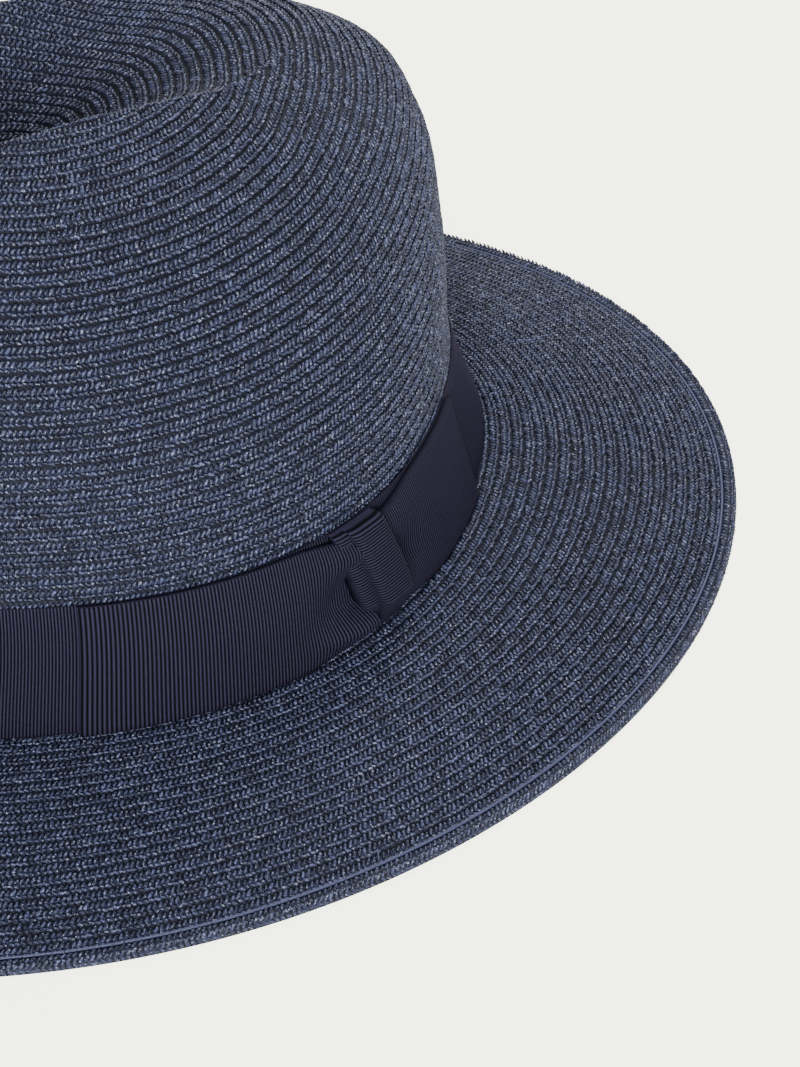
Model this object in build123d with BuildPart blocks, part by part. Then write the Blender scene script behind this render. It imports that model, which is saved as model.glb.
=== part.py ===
"""A braided fedora: a spiral-sewn crown and brim, a ribbon band with a flat bow, and a sweatband.

Millimetres, +Z up, the front of the hat towards -Y and the wearer's left towards +X. The origin lies on
the plane that the brim's edge rests on, under the middle of the brim.
"""

from build123d import *
from math import atan, cos, degrees, pi, radians, sin
import os

# ---- driving dimensions -------------------------------------------------------------------------------

braid_thickness = 2.0

# Crown, as ovals of its outer surface: height above the brim, half width, half length, shift in Y.
crown_ovals = [
    (0.0, 86.0, 106.5, 0.0),
    (32.0, 84.5, 97.0, -0.6),
    (65.0, 79.8, 98.5, -1.2),
    (91.5, 67.3, 98.0, -1.7),
    (109.5, 52.9, 88.9, -2.0),
    (120.3, 36.1, 72.0, -2.2),
]
crown_flatness = 0.05  # how much a crown oval is drawn in between its sides and its ends
crown_slope = 0.127  # fall of the crown's top for each millimetre towards the back
slope_growth = 1.5  # how late that slope sets in on the way up
crown_centre_y = 1.5

# Teardrop dent: the half widths and the end positions of its rim and of its floor.
dent_depth = 27.0
dent_rim_radius = 33.0
dent_rim_back_y = 31.0
dent_rim_front_y = -50.0
dent_rim_front_radius = 15.0
dent_floor_radius = 17.0
dent_floor_back_y = 20.0
dent_floor_front_y = -36.0
dent_floor_front_radius = 7.0

# Brim.
brim_side_width = 61.0
brim_end_width = 59.0
brim_drop = 8.0
brim_curl = 2.0
edge_row_width = 3.2
edge_row_height = 2.6
edge_row_rounding = 0.8

# Stitch line between the brim and its edge row, and the shaping wire inside that row.
groove_width = 0.9
thread_radius = 0.35
wire_radius = 0.5
wire_clearance = 0.05

# Ribbon band and its bow.
band_width = 31.5
band_thickness = 0.6
band_gap = 0.15
band_lift = 0.6
tack_count = 8
tack_free_angle = 120.0  # the stretch behind the bow
tack_length = 1.8
tack_width = 0.5
tack_thickness = 0.25
tack_inset = 0.9
bow_angle = 104.0  # from the front round to the wearer's left
front_loop_length = 62.0
back_loop_length = 44.0
loop_thickness = 2.4
loop_gap = 0.1
knot_width = 14.5
knot_thickness = 5.0
knot_overhang = 0.3

# Sweatband, its reed and its trimmings.
sweatband_width = 34.0
sweatband_thickness = 1.0
sweatband_gap = 0.2
reed_radius = 0.9
reed_clearance = 0.2
stitch_count = 96
stitch_length = 3.0
stitch_width = 0.6
stitch_thickness = 0.3
stitch_height = 3.0
thread_lift = 0.03  # keeps the straight stitches clear of the curved faces that they lie on
seam_cover_width = 10.0
seam_cover_thickness = 0.7
inner_bow_height = 4.5
inner_bow_length = 24.0
inner_bow_knot = 4.0
inner_bow_thickness = 1.5
inner_bow_place = 7.0
label_angle = 152.0
label_width = 26.0
label_height = 14.0
label_thickness = 0.4
label_rounding = 1.0
label_place = 17.0

# ---- values worked out from them ------------------------------------------------------------------------

joint_z = brim_drop + edge_row_height
crown_height, top_half_width, top_half_length, top_shift = crown_ovals[-1]
head_half_width, head_half_length = crown_ovals[0][1:3]
edge_half_width = head_half_width + brim_side_width
edge_half_length = head_half_length + brim_end_width
edge_trim = edge_row_width + groove_width
reach = 2 * edge_half_length  # longer than anything that a cut has to pass through
resting = (Align.CENTER, Align.CENTER, Align.MIN)
inner_side, outer_side = -2, -1  # a ring's last two crossings on a line outwards from the middle

band_inside = band_gap
band_outside = band_inside + band_thickness
loop_inside = band_outside + loop_gap
loop_outside = loop_inside + loop_thickness
knot_outside = loop_inside + knot_thickness
sweatband_outside = -braid_thickness - sweatband_gap
sweatband_inside = sweatband_outside - sweatband_thickness
seam_cover_inside = sweatband_inside - seam_cover_thickness
reed_middle = sweatband_outside - reed_radius
sweatband_low = 2 * reed_radius - braid_thickness + reed_clearance
band_middle = band_lift + band_width / 2
clear_of_seam = degrees((seam_cover_width / 2 + stitch_length) / head_half_length)


def oval_point(angle, half_width, half_length, centre_y, flatness):
    """A point of an oval, with the angle in radians from the front round to the wearer's left."""
    distance = 1 - flatness * sin(2 * angle) ** 2
    return (half_width * distance * sin(angle), centre_y - half_length * distance * cos(angle))


def oval_outline(half_width, half_length, centre_y=0.0, flatness=crown_flatness, count=32):
    """The points of a whole oval, to be joined by a closed spline."""
    angles = [2 * pi * step / count for step in range(count)]
    return [oval_point(angle, half_width, half_length, centre_y, flatness) for angle in angles]


def crown_plane(height, shift):
    """The plane of one crown oval, which tilts with the top's slope on the way up."""
    slope = crown_slope * (height / crown_height) ** slope_growth
    tilt = atan(slope)
    return Plane(
        origin=(0, crown_centre_y + shift, joint_z + height - slope * shift),
        x_dir=(1, 0, 0),
        z_dir=(0, sin(tilt), cos(tilt)),
    )


def crown_body(offset):
    """The undented crown as a solid, its surface moved outwards by an offset, down to under the brim."""
    with BuildPart() as body:
        for height, half_width, half_length, shift in crown_ovals:
            raised = height + offset * height / crown_height
            with BuildSketch(crown_plane(raised, shift)):
                with BuildLine():
                    Spline(*oval_outline(half_width + offset, half_length + offset), periodic=True)
                make_face()
        loft()
        extrude(body.faces().sort_by(Axis.Z)[0], amount=braid_thickness)
    return body.part


def dent_body(offset):
    """The teardrop that is pressed into the crown's top, its walls moved outwards by an offset."""
    with BuildPart() as body:
        with BuildSketch(crown_plane(crown_height, top_shift)):
            with Locations((0, dent_rim_back_y)):
                Circle(dent_rim_radius + offset)
            with Locations((0, dent_rim_front_y)):
                Circle(dent_rim_front_radius + offset)
            make_hull()
        with BuildSketch(crown_plane(crown_height - dent_depth - offset, top_shift)):
            with Locations((0, dent_floor_back_y)):
                Circle(dent_floor_radius + offset)
            with Locations((0, dent_floor_front_y)):
                Circle(dent_floor_front_radius + offset)
            make_hull()
        loft()
    return body.part


def wall_layer(inside, outside):
    """A layer that follows the crown's side, between two offsets from its outer surface."""
    with BuildPart() as layer:
        add(crown_body(outside))
        add(crown_body(inside), mode=Mode.SUBTRACT)
    return layer.part


def facing_plane(angle, height):
    """A plane that looks outwards from the crown's middle, with its X along the crown's side."""
    turn = radians(angle)
    return Plane(
        origin=(0, crown_centre_y, joint_z + height),
        x_dir=(cos(turn), sin(turn), 0),
        z_dir=(sin(turn), -cos(turn), 0),
    )


def spot_on(ring, angle, height, side):
    """A plane just off one side of a ring, inner_side or outer_side, which looks away from the ring."""
    facing = facing_plane(angle, height)
    point, normal = ring.part.find_intersection_points(Axis(facing.origin, facing.z_dir))[side]
    away = facing.z_dir if side == outer_side else -facing.z_dir
    normal = normal if normal.dot(away) > 0 else -normal
    return Plane(origin=point + normal * thread_lift, x_dir=facing.x_dir, z_dir=normal)


def brim_body(lowering):
    """The solid under the brim's upper surface, out to the groove, lowered as a whole."""
    with BuildPart() as body:
        for share in (0, 0.25, 0.5, 0.75, 1):
            half_width = head_half_width + share * (brim_side_width - edge_trim)
            half_length = head_half_length + share * (brim_end_width - edge_trim)
            centre_y = crown_centre_y * (1 - share)
            flatness = crown_flatness * (1 - share) ** 2
            level = joint_z - brim_drop * share**brim_curl - lowering
            with BuildSketch(Plane.XY.offset(level)):
                with BuildLine():
                    Spline(*oval_outline(half_width, half_length, centre_y, flatness), periodic=True)
                make_face()
        loft()
    return body.part


def edge_ring(radius, inset, height):
    """A round cord that runs all along the brim's edge, at an inset from it."""
    with BuildSketch(Plane.XY.offset(height)) as outline:
        Ellipse(edge_half_width - inset, edge_half_length - inset)
    path = outline.sketch.edge()
    with BuildPart() as ring:
        with BuildSketch(Plane(origin=path @ 0, z_dir=path % 0)):
            Circle(radius)
        sweep(path=path)
    return ring.part


# ---- braid: crown, brim and the brim's edge -------------------------------------------------------------

with BuildPart() as hollow:
    add(crown_body(-braid_thickness))
    add(dent_body(braid_thickness), mode=Mode.SUBTRACT)

with BuildPart() as crown:
    add(crown_body(0))
    add(dent_body(0), mode=Mode.SUBTRACT)
    add(hollow.part, mode=Mode.SUBTRACT)
crown.part.label = "crown_braid"

with BuildPart() as brim:
    add(brim_body(0))
    extrude(brim.faces().sort_by(Axis.Z)[0], amount=braid_thickness)
    add(brim_body(braid_thickness), mode=Mode.SUBTRACT)
    with BuildSketch():
        with BuildLine():
            Spline(*oval_outline(head_half_width, head_half_length, crown_centre_y), periodic=True)
        make_face()
    extrude(amount=2 * joint_z, mode=Mode.SUBTRACT)
brim.part.label = "brim_braid"

wire_inset = edge_row_width / 2
wire_height = edge_row_height / 2

with BuildPart() as edge_row:
    with BuildSketch():
        Ellipse(edge_half_width, edge_half_length)
        Ellipse(edge_half_width - edge_row_width, edge_half_length - edge_row_width, mode=Mode.SUBTRACT)
    extrude(amount=edge_row_height)
    fillet(edge_row.faces().sort_by(Axis.Z)[-1].edges(), edge_row_rounding)
    add(edge_ring(wire_radius + wire_clearance, wire_inset, wire_height), mode=Mode.SUBTRACT)
edge_row.part.label = "brim_edge_row"

with BuildPart() as wire:
    add(edge_ring(wire_radius, wire_inset, wire_height))
wire.part.label = "brim_wire"

with BuildPart() as edge_thread:
    add(edge_ring(thread_radius, edge_row_width + groove_width / 2, edge_row_height - thread_radius))
edge_thread.part.label = "brim_edge_thread"

# ---- ribbon band and bow --------------------------------------------------------------------------------

with BuildPart() as band:
    add(wall_layer(band_inside, band_outside))
    with BuildSketch(Plane.XY.offset(joint_z + band_lift)):
        Rectangle(reach, reach)
    extrude(amount=band_width, mode=Mode.INTERSECT)
band.part.label = "hat_band"

with BuildPart() as tacks:
    for step in range(tack_count):
        angle = bow_angle + 180 + (360 - tack_free_angle) * ((step + 0.5) / tack_count - 0.5)
        height = band_lift + band_width - tack_inset - tack_length / 2
        with Locations(spot_on(band, angle, height, outer_side)):
            Box(tack_width, tack_length, tack_thickness, align=resting)
tacks.part.label = "band_tacking_stitches"

with BuildPart() as front_loop:
    add(wall_layer(loop_inside, loop_outside))
    with BuildSketch(facing_plane(bow_angle, band_middle)):
        with Locations((-knot_width / 2, 0)):
            Rectangle(front_loop_length, band_width, align=(Align.MAX, Align.CENTER))
    extrude(amount=reach, mode=Mode.INTERSECT)
front_loop.part.label = "bow_front_loop"

with BuildPart() as back_loop:
    add(wall_layer(loop_inside, loop_outside))
    with BuildSketch(facing_plane(bow_angle, band_middle)):
        with Locations((knot_width / 2, 0)):
            Rectangle(back_loop_length, band_width, align=(Align.MIN, Align.CENTER))
    extrude(amount=reach, mode=Mode.INTERSECT)
back_loop.part.label = "bow_back_loop"

with BuildPart() as knot:
    add(wall_layer(loop_inside, knot_outside))
    with BuildSketch(facing_plane(bow_angle, band_middle)):
        Rectangle(knot_width - 2 * loop_gap, band_width + 2 * knot_overhang)
    extrude(amount=reach, mode=Mode.INTERSECT)
knot.part.label = "bow_knot"

# ---- sweatband and its trimmings ------------------------------------------------------------------------

with BuildPart() as sweatband:
    add(wall_layer(sweatband_inside, sweatband_outside))
    with BuildSketch(Plane.XY.offset(joint_z + sweatband_low)):
        Rectangle(reach, reach)
    extrude(amount=sweatband_width, mode=Mode.INTERSECT)
sweatband.part.label = "sweatband"

with BuildPart() as reed:
    with BuildLine():
        reed_oval = oval_outline(head_half_width + reed_middle, head_half_length + reed_middle, crown_centre_y)
        reed_height = joint_z - braid_thickness + reed_radius
        reed_path = Spline(*[(x, y, reed_height) for x, y in reed_oval], periodic=True)
    with BuildSketch(Plane(origin=reed_path @ 0, z_dir=reed_path % 0)):
        Circle(reed_radius)
    sweep()
reed.part.label = "sweatband_reed"

with BuildPart() as stitches:
    for step in range(stitch_count):
        angle = 360 * (step + 0.5) / stitch_count
        if abs(angle - 180) > clear_of_seam:
            with Locations(spot_on(sweatband, angle, sweatband_low + stitch_height, inner_side)):
                Box(stitch_length, stitch_width, stitch_thickness, align=resting)
stitches.part.label = "sweatband_stitching"

with BuildPart() as seam_cover:
    add(wall_layer(seam_cover_inside, sweatband_inside))
    with BuildSketch(facing_plane(180, sweatband_low + sweatband_width / 2)):
        Rectangle(seam_cover_width, sweatband_width)
    extrude(amount=reach, mode=Mode.INTERSECT)
seam_cover.part.label = "sweatband_seam_cover"

with BuildPart() as inner_bow:
    add(wall_layer(seam_cover_inside - inner_bow_thickness, seam_cover_inside))
    with BuildSketch(facing_plane(180, sweatband_low + inner_bow_place)):
        with BuildLine():
            Polyline(
                (0, inner_bow_knot / 3),
                (inner_bow_length / 2, inner_bow_height / 2),
                (inner_bow_length / 2, -inner_bow_height / 2),
                (0, -inner_bow_knot / 3),
                (-inner_bow_length / 2, -inner_bow_height / 2),
                (-inner_bow_length / 2, inner_bow_height / 2),
                close=True,
            )
        make_face()
        Rectangle(inner_bow_knot, inner_bow_knot)
    extrude(amount=reach, mode=Mode.INTERSECT)
inner_bow.part.label = "sweatband_bow"

with BuildPart() as label:
    add(wall_layer(sweatband_inside - label_thickness, sweatband_inside))
    with BuildSketch(facing_plane(label_angle, sweatband_low + label_place)):
        RectangleRounded(label_width, label_height, label_rounding)
    extrude(amount=reach, mode=Mode.INTERSECT)
label.part.label = "size_label"

# ---- one STEP file for each piece -----------------------------------------------------------------------

pieces = [
    crown,
    brim,
    edge_row,
    wire,
    edge_thread,
    band,
    tacks,
    front_loop,
    back_loop,
    knot,
    sweatband,
    reed,
    stitches,
    seam_cover,
    inner_bow,
    label,
]
os.makedirs("parts", exist_ok=True)
for piece in pieces:
    export_step(piece.part, f"parts/{piece.part.label}.step")
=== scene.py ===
from math import cos, pi, radians, sin, tau

import bmesh
import bpy
import numpy as np
from bpy.props import FloatProperty, FloatVectorProperty, IntProperty, PointerProperty
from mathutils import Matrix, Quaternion, Vector


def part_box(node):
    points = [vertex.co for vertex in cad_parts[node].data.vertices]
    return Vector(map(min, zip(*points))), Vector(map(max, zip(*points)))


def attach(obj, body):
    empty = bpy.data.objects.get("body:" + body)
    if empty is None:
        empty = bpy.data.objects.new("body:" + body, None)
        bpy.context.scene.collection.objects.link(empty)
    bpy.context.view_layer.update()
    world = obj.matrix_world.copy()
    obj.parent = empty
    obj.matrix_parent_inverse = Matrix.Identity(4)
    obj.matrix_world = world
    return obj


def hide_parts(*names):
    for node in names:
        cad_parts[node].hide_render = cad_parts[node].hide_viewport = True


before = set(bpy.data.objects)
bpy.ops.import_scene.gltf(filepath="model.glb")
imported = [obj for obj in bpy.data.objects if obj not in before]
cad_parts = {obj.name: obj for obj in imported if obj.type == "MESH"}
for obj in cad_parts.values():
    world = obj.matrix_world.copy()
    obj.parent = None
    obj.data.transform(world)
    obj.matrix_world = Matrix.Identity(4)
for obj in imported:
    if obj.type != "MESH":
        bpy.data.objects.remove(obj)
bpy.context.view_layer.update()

bl_info = {
    "name": "Braided fedora",
    "version": (1, 0, 0),
    "blender": (4, 5, 0),
    "location": "View3D > Sidebar > Fedora",
    "description": "Builds a spiral-sewn fedora with a ribbon band, a flat bow and a sweatband",
    "category": "Add Mesh",
}

MM = 0.001
RESTS_ON_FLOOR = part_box("brim_edge_row")[0].z
BAND_FOOT = 0.6  # height of the ribbon's lower edge above the brim
JOINT_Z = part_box("hat_band")[0].z - BAND_FOOT * MM  # where the crown meets the brim
EDGE_HALF_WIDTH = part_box("brim_edge_row")[1].x
EDGE_HALF_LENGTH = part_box("brim_edge_row")[1].y

# ---- the crown's and the brim's shape ---------------------------------------------------------------------

# Each row is a height above the brim, a half width, a half length and a shift in Y, in millimetres.
CROWN_OVALS = np.array([
    (0.0, 86.0, 106.5, 0.0),
    (32.0, 84.5, 97.0, -0.6),
    (65.0, 79.8, 98.5, -1.2),
    (91.5, 67.3, 98.0, -1.7),
    (109.5, 52.9, 88.9, -2.0),
    (120.3, 36.1, 72.0, -2.2),
])
CROWN_HEIGHT = 120.3
CROWN_FLATNESS = 0.05  # how much flatter than an oval the crown is at its four corners
CROWN_SLOPE = 0.127  # how steeply the crown's top falls towards the back
CROWN_CENTRE_Y = 1.5
TIP_Y = -12.0  # where the spiral starts, on the crown's top
TOP_DOME = 6.0  # how far the top would rise in its middle without the dent
DENT_DEPTH = 27.0
DENT_RIM = ((30.0, 32.5), (-22.0, 31.5), (-52.0, 14.0))  # circles along the teardrop: place in Y, radius
DENT_WALL = 32.0  # how far in from its rim the dent reaches its floor
DENT_FADE = (-24.0, 64.0)  # where it starts to rise towards the back, and where it has gone
EDGE_ROW = 3.2  # width of the brim's last row
GROOVE = 0.9  # width of the groove inside it, where its thread lies
BRAID_THICKNESS = 2.0
PINCH_ANGLE = radians(38)  # where the crown is pressed in on each side of its front
PINCH_DEPTH = 7.0
PINCH_WIDTH = 0.24  # how far round the crown a pinch reaches, in radians
BRIM_DROP = 8.0
BRIM_ROWS = 57.0  # about how wide the brim is inside its groove
SEWN_IN = 1.6  # how far the crown and the brim reach into each other
BOW_ANGLE = 104.0
KNOT_LEAN = 5.5  # how far the knot leans to the front at its top
INNER_FACE = -3.22  # offset of the sweatband's inner face from the crown's outside
FLOOR_LIGHT = 0.5  # what the floor gives off besides its glow to the camera
BAND_LEVEL = 16.0  # height of the ribbon's middle above the brim


def through(x, known):
    """Smooth values at x through the rows of a table, whose first column is x."""
    xs, ys = known[:, 0], known[:, 1:]
    slopes = np.gradient(ys, xs, axis=0)
    i = np.clip(np.searchsorted(xs, x) - 1, 0, len(xs) - 2)
    step = (xs[i + 1] - xs[i])[..., None]
    t = ((x - xs[i]) / (xs[i + 1] - xs[i]))[..., None]
    return (
        (2 * t**3 - 3 * t**2 + 1) * ys[i]
        + (t**3 - 2 * t**2 + t) * step * slopes[i]
        + (3 * t**2 - 2 * t**3) * ys[i + 1]
        + (t**3 - t**2) * step * slopes[i + 1]
    )


def smoothstep(low, high, x):
    """A share that rises smoothly from 0 at low to 1 at high."""
    t = np.clip((x - low) / (high - low), 0, 1)
    return t * t * (3 - 2 * t)


def wall_point(angle, height, offset=0.0):
    """Points of the crown's side in millimetres, from angles round it and heights above the brim."""
    angle, height = np.broadcast_arrays(np.asarray(angle, float), np.asarray(height, float))
    half_width, half_length, shift = np.moveaxis(through(height, CROWN_OVALS), -1, 0)
    slope = CROWN_SLOPE * (np.clip(height, 0, None) / CROWN_HEIGHT) ** 1.5
    tilt = np.arctan(slope)
    distance = 1 - CROWN_FLATNESS * np.sin(2 * angle) ** 2
    from_front = np.abs((angle + pi) % tau - pi)
    pinched = np.exp(-(((from_front - PINCH_ANGLE) / PINCH_WIDTH) ** 2)) * smoothstep(55, 112, height)
    distance = distance * (1 - PINCH_DEPTH * pinched / 70)
    x = (half_width + offset) * distance * np.sin(angle)
    along = -(half_length + offset) * distance * np.cos(angle)
    y = CROWN_CENTRE_Y + shift + along * np.cos(tilt)
    z = JOINT_Z / MM + height + offset * height / CROWN_HEIGHT - slope * shift - np.sin(tilt) * along
    return np.stack([x, y, z], -1)


def run_length(line):
    """The length along a line of points, from its first point to each."""
    return np.concatenate([[0], np.cumsum(np.linalg.norm(np.diff(line, axis=0), axis=1))])


def inside_of(x, y, back, front):
    """How far a place is inside the outline round two circles on the hat's middle line."""
    (y1, r1), (y2, r2) = back, front
    span = y1 - y2
    lean = (r1 - r2) / span
    up = np.sqrt(1 - lean**2)
    side, ahead = np.abs(x), y1 - y
    across = side * up + ahead * lean
    on_line = ahead * up - side * lean
    return np.where(
        on_line < 0,
        r1 - np.hypot(side, ahead),
        np.where(on_line > span * up, r2 - np.hypot(side, ahead - span), r1 - across),
    )


def dent_at(x, y):
    """How deep the dent is at a place of the crown's top."""
    back, middle, front = DENT_RIM
    inside = np.maximum(inside_of(x, y, back, middle), inside_of(x, y, middle, front))
    t = np.clip(inside / DENT_WALL, 0, 1)
    profile = 1 - (1 - t) ** 2
    return DENT_DEPTH * profile * (1 - smoothstep(*DENT_FADE, y))


def crown_grid(turns, columns, samples):
    """Points and outward directions of the crown: rows run from the brim to the tip in equal shares."""
    angles = tau * np.arange(columns) / columns
    heights = np.linspace(-SEWN_IN, CROWN_HEIGHT, 240)
    wall = wall_point(angles[None, :], heights[:, None])
    rim = wall[-1]
    closeness = np.linspace(1, 0, 200)[1:, None, None]
    tip = np.array([0, TIP_Y, 0])
    top = tip + closeness * (rim - tip)
    top_level = JOINT_Z / MM + CROWN_HEIGHT - CROWN_SLOPE * (top[..., 1] - CROWN_CENTRE_Y)
    dome = TOP_DOME * (1 - closeness[..., 0] ** 2)
    top[..., 2] = top_level + dome - dent_at(top[..., 0], top[..., 1])
    lines = np.concatenate([wall, top])
    steps = np.linalg.norm(np.diff(lines, axis=0), axis=-1)
    length = np.concatenate([np.zeros((1, columns)), np.cumsum(steps, 0)])
    shares = np.linspace(0, 1, turns * samples + 1)
    grid = np.empty((len(shares), columns, 3))
    for j in range(columns):
        for k in range(3):
            grid[:, j, k] = np.interp(shares * length[-1, j], length[:, j], lines[:, j, k])
    return grid


def brim_grid(turns, columns, samples):
    """Points of the brim's upper face: rows run from the groove at its edge in to the crown."""
    angles = tau * np.arange(columns)[None, :] / columns
    share = 1 - np.linspace(0, 1 + SEWN_IN / BRIM_ROWS, turns * samples + 1)[:, None]
    trim = (EDGE_ROW + GROOVE) * MM
    _, joint_width, joint_length, _ = CROWN_OVALS[0]
    half_width = joint_width + share * (EDGE_HALF_WIDTH - trim - joint_width * MM) / MM
    half_length = joint_length + share * (EDGE_HALF_LENGTH - trim - joint_length * MM) / MM
    distance = 1 - CROWN_FLATNESS * (1 - share) ** 2 * np.sin(2 * angles) ** 2
    x = half_width * distance * np.sin(angles)
    y = CROWN_CENTRE_Y * (1 - share) - half_length * distance * np.cos(angles)
    z = JOINT_Z / MM - BRIM_DROP * share**2 + 0 * x
    return np.stack([x, y, z], -1)


def outward(grid, wraps=True):
    """Unit directions that point out of a grid whose columns run round and whose rows run to the tip."""
    if wraps:
        along = np.roll(grid, -1, 1) - np.roll(grid, 1, 1)
    else:
        along = np.gradient(grid, axis=1)
    across = np.gradient(grid, axis=0)
    facing = np.cross(along, across)
    size = np.linalg.norm(facing, axis=-1, keepdims=True)
    if size[-1].min() < 1e-9:
        facing[-1] = facing[-2].mean(0)
        size[-1] = np.linalg.norm(facing[-1], axis=-1, keepdims=True)
    return facing / size


def spiral_cells(grid, turns, spacing):
    """Places, directions along the row and outward directions of the cells of a spiral on a grid."""
    rows, columns = grid.shape[0] - 1, grid.shape[1]
    facing = outward(grid)

    def sample(values, turn):
        row = np.clip(turn / turns * rows, 0, rows - 1e-6)
        column = (turn % 1) * columns
        i, j = row.astype(int), column.astype(int) % columns
        a, b = (row - i)[:, None], (column - column.astype(int))[:, None]
        k = (j + 1) % columns
        low = values[i, j] * (1 - b) + values[i, k] * b
        high = values[i + 1, j] * (1 - b) + values[i + 1, k] * b
        return low * (1 - a) + high * a

    turn = np.linspace(0.02, turns - 0.15, turns * columns)
    line = sample(grid, turn)
    length = run_length(line)
    at = np.interp(np.arange(0, length[-1], spacing), length, turn)
    places = sample(grid, at)
    along = np.gradient(places, axis=0)
    along /= np.linalg.norm(along, axis=1, keepdims=True)
    up = sample(facing, at)
    return places, along, up / np.linalg.norm(up, axis=1, keepdims=True)


def row_relief(grid, turns, height):
    """How far each point of a grid stands proud, so that the spiral's rows are rounded."""
    rows, columns = grid.shape[0], grid.shape[1]
    phase = turns * np.linspace(0, 1, rows)[:, None] - np.arange(columns)[None, :] / columns
    fade = 1 - smoothstep(turns - 1.5, turns - 0.3, turns * np.linspace(0, 1, rows))[:, None]
    return (height * fade * np.abs(np.cos(pi * phase)) ** 0.8)[..., None]


# ---- meshes -----------------------------------------------------------------------------------------------


def linked(name, data):
    """A new object for a mesh, lamp or camera, in the scene."""
    new = bpy.data.objects.new(name, data)
    bpy.context.scene.collection.objects.link(new)
    return new


def skin(name, outer, inner, wraps, uv_size, turns=0.0, merge=False):
    """A closed piece between two grids in millimetres, with a UV map that follows its rows and columns."""
    rows, columns = outer.shape[:2]
    sides = columns if wraps else columns - 1
    i, j = np.meshgrid(np.arange(rows - 1), np.arange(sides), indexing="ij")
    i, j = i.ravel(), j.ravel()
    quad = np.stack([np.stack(c, -1) for c in ((i, j), (i, j + 1), (i + 1, j + 1), (i + 1, j))], 1)
    corners = [(quad, 0), (quad[:, ::-1], 1)]
    edge = np.arange(sides)
    zero, last = edge * 0, edge * 0 + rows - 1
    borders = [((zero, edge + 1), (zero, edge)), ((last, edge), (last, edge + 1))]
    if not wraps:
        side = np.arange(rows - 1)
        first, final = side * 0, side * 0 + columns - 1
        borders += [((side, first), (side + 1, first)), ((side + 1, final), (side, final))]
    count = rows * columns
    faces, uvs = [], []

    def index(pair, layer):
        return pair[..., 0] * columns + pair[..., 1] % columns + layer * count

    def place(pair):
        u = pair[..., 1] / columns
        v = pair[..., 0] / (rows - 1)
        return np.stack([u * uv_size[0], v * uv_size[1] - u * turns], -1)

    for pairs, layer in corners:
        faces.append(index(pairs, layer))
        uvs.append(place(pairs))
    for start, end in borders:
        a, b = np.stack(start, -1), np.stack(end, -1)
        faces.append(np.stack([index(a, 0), index(b, 0), index(b, 1), index(a, 1)], 1))
        uvs.append(np.stack([place(a), place(b), place(b), place(a)], 1))
    faces, uvs = np.concatenate(faces), np.concatenate(uvs)
    mesh = bpy.data.meshes.new(name)
    points = np.concatenate([outer.reshape(-1, 3), inner.reshape(-1, 3)]) * MM
    mesh.from_pydata(points.tolist(), [], faces.tolist())
    layer = mesh.uv_layers.new(name="rows")
    layer.data.foreach_set("uv", uvs.reshape(-1).astype(np.float32))
    if merge:
        tidy = bmesh.new()
        tidy.from_mesh(mesh)
        bmesh.ops.remove_doubles(tidy, verts=tidy.verts, dist=1e-6)
        tidy.to_mesh(mesh)
        tidy.free()
    mesh.polygons.foreach_set("use_smooth", [True] * len(mesh.polygons))
    return linked(name, mesh)


def point_piece(name, places, along, up, turn=None):
    """A mesh of bare points in millimetres that carries what a repeated shape needs to stand on each."""
    mesh = bpy.data.meshes.new(name)
    mesh.from_pydata((np.asarray(places) * MM).tolist(), [], [])
    for label, values in (("along", along), ("outward", up)):
        mesh.attributes.new(label, "FLOAT_VECTOR", "POINT").data.foreach_set(
            "vector", np.asarray(values, np.float32).reshape(-1)
        )
    turn = np.zeros(len(places)) if turn is None else turn
    mesh.attributes.new("turn", "FLOAT", "POINT").data.foreach_set("value", turn.astype(np.float32))
    return linked(name, mesh)


def finished(piece, cad_node):
    """Hands a piece to the frame: it rides on the hat and stands for a node, whose own mesh is hidden."""
    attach(piece, "root")
    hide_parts(cad_node)


# ---- geometry nodes ---------------------------------------------------------------------------------------


def node(tree, kind, inputs=(), **settings):
    """A node with its settings and its inputs, each a value or another node's socket."""
    new = tree.nodes.new(kind)
    for key, value in settings.items():
        setattr(new, key, value)
    for key, value in dict(inputs).items():
        if isinstance(value, bpy.types.NodeSocket):
            tree.links.new(value, new.inputs[key])
        else:
            new.inputs[key].default_value = value
    return new


def maths(tree, operation, *values):
    """The result of a Math node on one to three values or sockets."""
    return node(tree, "ShaderNodeMath", dict(enumerate(values)), operation=operation).outputs[0]


def xyz(tree, **parts):
    """A vector made of the parts that are given."""
    return node(tree, "ShaderNodeCombineXYZ", parts).outputs[0]


def carried(tree, name, kind="FLOAT"):
    """What a piece's points carry under a name."""
    given = node(tree, "GeometryNodeInputNamedAttribute", {"Name": name}, data_type=kind)
    return given.outputs["Attribute"]


def chance(tree, low, high, seed):
    """A random value for each point, the same in every run."""
    drawn = node(
        tree, "FunctionNodeRandomValue", {2: low, 3: high, "Seed": seed}, data_type="FLOAT"
    )
    return drawn.outputs[1]


def shape_tree(name, sizes):
    """An empty geometry tree with a geometry input, a material input and the named size inputs."""
    tree = bpy.data.node_groups.new(name, "GeometryNodeTree")
    tree.is_modifier = True
    sockets = tree.interface
    sockets.new_socket(name="Geometry", in_out="INPUT", socket_type="NodeSocketGeometry")
    sockets.new_socket(name="Material", in_out="INPUT", socket_type="NodeSocketMaterial")
    for label in sizes:
        sockets.new_socket(name=label, in_out="INPUT", socket_type="NodeSocketFloat")
    sockets.new_socket(name="Geometry", in_out="OUTPUT", socket_type="NodeSocketGeometry")
    return tree, tree.nodes.new("NodeGroupInput").outputs


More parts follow.
